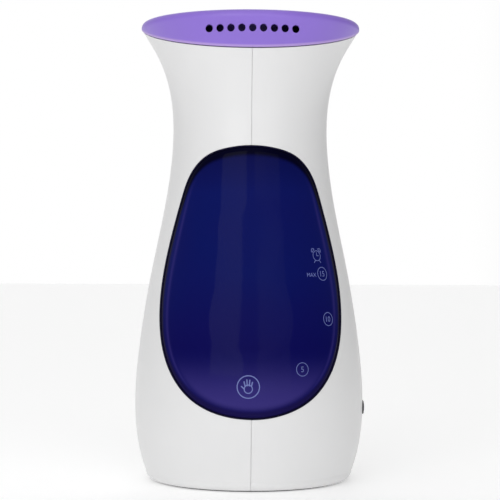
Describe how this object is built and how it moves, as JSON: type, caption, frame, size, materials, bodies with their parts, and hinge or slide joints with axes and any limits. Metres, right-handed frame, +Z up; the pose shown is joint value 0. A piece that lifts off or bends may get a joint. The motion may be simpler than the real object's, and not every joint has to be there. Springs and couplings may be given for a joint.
{
  "type": "handheld garment steamer",
  "caption": "Kettle-shaped handheld garment steamer with a translucent tank window, a lift-off head with a row of steam holes, a loop handle and a side power button.",
  "frame": {"origin": "on the resting plane, under the axis of the round body", "axes": "+Z up along the body, -Y out of the front with the steam holes and the window, +X towards the side with the power button"},
  "size_m": [0.1005, 0.1323, 0.2],
  "materials": {
    "white_shell": "satin moulded",
    "screw_steel": "zinc plated",
    "base_plastic": "fine texture",
    "foot_rubber": "matt",
    "frame_plastic": "moulded",
    "tank_clear": "dark blue translucent, polished",
    "lens_clear": "dark blue translucent, polished",
    "seal_rubber": "matt",
    "plate_aluminium": "coated",
    "element_steel": "satin",
    "phenolic": "phenolic",
    "fuse_body": "plated",
    "terminal_plastic": "natural nylon",
    "wire_sleeve": "glass fibre sleeve",
    "black_trim": "satin",
    "button_plastic": "satin",
    "purple_head": "satin moulded",
    "head_inner": "moulded"
  },
  "bodies": {
    "housing": {"left_shell": "white_shell", "right_shell": "white_shell", "left_handle": "white_shell", "right_handle": "white_shell", "grip_screws": "screw_steel", "root_screws": "screw_steel", "base_screws": "screw_steel", "cord_clamp_screws": "screw_steel", "heater_screws": "screw_steel", "base_cover": "base_plastic", "rubber_foot": "foot_rubber", "tank_cradle": "frame_plastic", "cord_clamp": "frame_plastic", "switch_bracket": "frame_plastic", "tank_bowl": "tank_clear", "tank_top": "tank_clear", "window_lens": "lens_clear", "window_gasket": "seal_rubber", "tank_seal": "seal_rubber", "heating_plate": "plate_aluminium", "heater_element": "element_steel", "heater_clamp_ring": "element_steel", "thermostat_clip": "element_steel", "thermostat": "phenolic", "switch_body": "phenolic", "thermal_fuse": "fuse_body", "terminal_block": "terminal_plastic", "internal_wires": "wire_sleeve", "button_bezel": "black_trim", "cord_gland": "black_trim"},
    "head": {"steam_head": "purple_head", "head_floor": "head_inner", "head_baffle": "head_inner", "head_seal": "seal_rubber"},
    "power_button": {"button_cap": "button_plastic", "switch_plunger": "button_plastic"}
  },
  "joints": [
    {"name": "head_lift", "type": "slide", "parent": "housing", "child": "head", "axis": [0, 0, 1], "range_m": [0, 0.04]},
    {"name": "button_press", "type": "slide", "parent": "housing", "child": "power_button", "axis": [-1, 0, 0], "range_m": [0, 0.0012], "stiffness_N_per_m": 900, "springref_m": -0.001}
  ]
}
